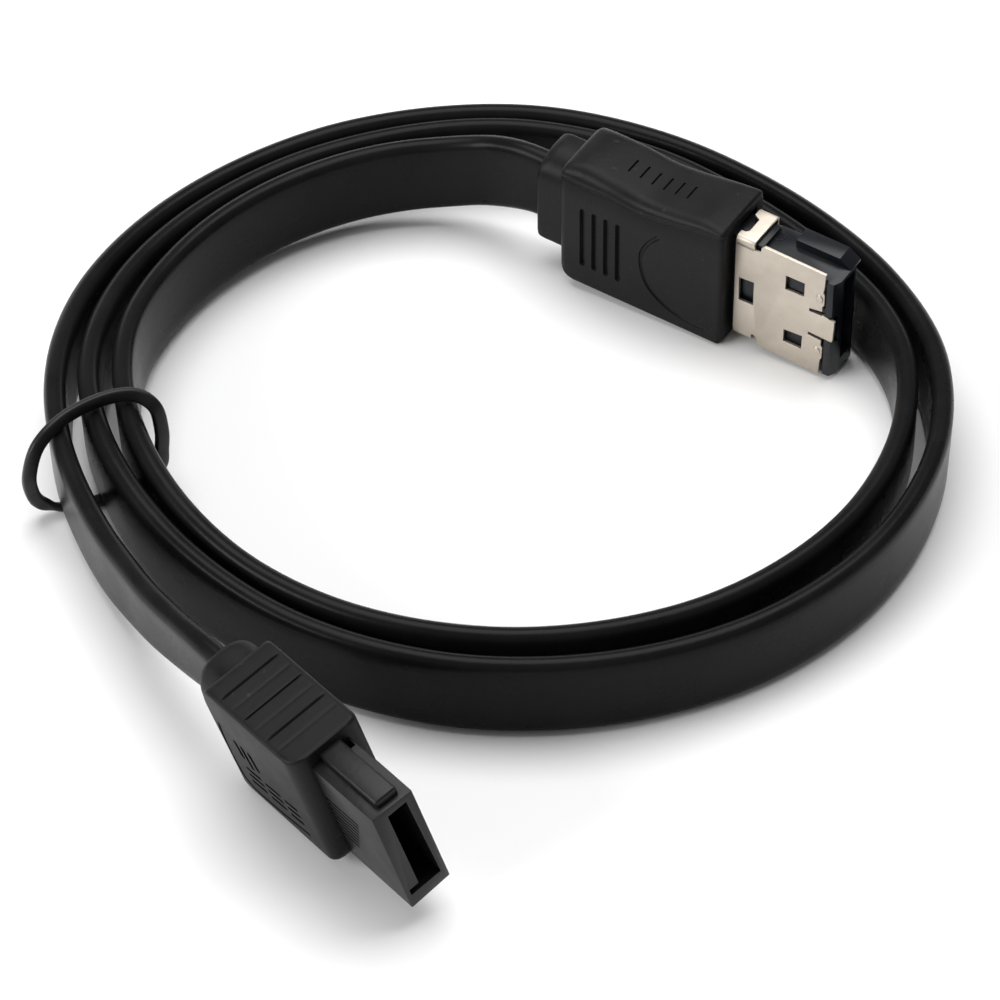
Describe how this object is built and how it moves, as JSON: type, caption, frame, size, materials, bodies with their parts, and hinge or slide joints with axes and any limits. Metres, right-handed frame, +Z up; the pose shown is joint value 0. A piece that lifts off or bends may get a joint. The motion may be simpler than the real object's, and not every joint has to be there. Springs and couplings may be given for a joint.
{
  "type": "esata to sata cable",
  "caption": "Flat black data cable coiled on edge, held by a loose tie, with a metal-shelled external plug at one end and a slotted internal plug at the other.",
  "frame": {"origin": "on the surface, under the middle of the two plugs' shared bounding box", "axes": "+Z up from the surface the coil lies on; +Y from the internal plug towards the external plug's back; +X towards the external plug's nose"},
  "size_m": [0.0797, 0.0978, 0.0155],
  "materials": {
    "jacket_black": "satin",
    "tie_black": "satin",
    "mould_black": "satin",
    "housing_black": "satin",
    "insert_blue_black": "semi-gloss",
    "shell_nickel": "satin nickel",
    "contact_gold": "bright",
    "lead_tin": "bright",
    "inner_mould_grey": "matt"
  },
  "bodies": {
    "root": {"cable_jacket": "jacket_black", "tie_ring": "tie_black", "esata_overmould": "mould_black", "esata_shell": "shell_nickel", "esata_insert": "insert_blue_black", "esata_inner_mould": "inner_mould_grey", "sata_overmould": "mould_black", "sata_housing": "housing_black", "sata_inner_mould": "inner_mould_grey", "esata_contact_1": "contact_gold", "esata_lead_1": "lead_tin", "esata_contact_2": "contact_gold", "esata_lead_2": "lead_tin", "esata_contact_3": "contact_gold", "esata_lead_3": "lead_tin", "esata_contact_4": "contact_gold", "esata_lead_4": "lead_tin", "esata_contact_5": "contact_gold", "esata_lead_5": "lead_tin", "esata_contact_6": "contact_gold", "esata_lead_6": "lead_tin", "esata_contact_7": "contact_gold", "esata_lead_7": "lead_tin", "sata_contact_1": "contact_gold", "sata_lead_1": "lead_tin", "sata_contact_2": "contact_gold", "sata_lead_2": "lead_tin", "sata_contact_3": "contact_gold", "sata_lead_3": "lead_tin", "sata_contact_4": "contact_gold", "sata_lead_4": "lead_tin", "sata_contact_5": "contact_gold", "sata_lead_5": "lead_tin", "sata_contact_6": "contact_gold", "sata_lead_6": "lead_tin", "sata_contact_7": "contact_gold", "sata_lead_7": "lead_tin"}
  },
  "joints": []
}
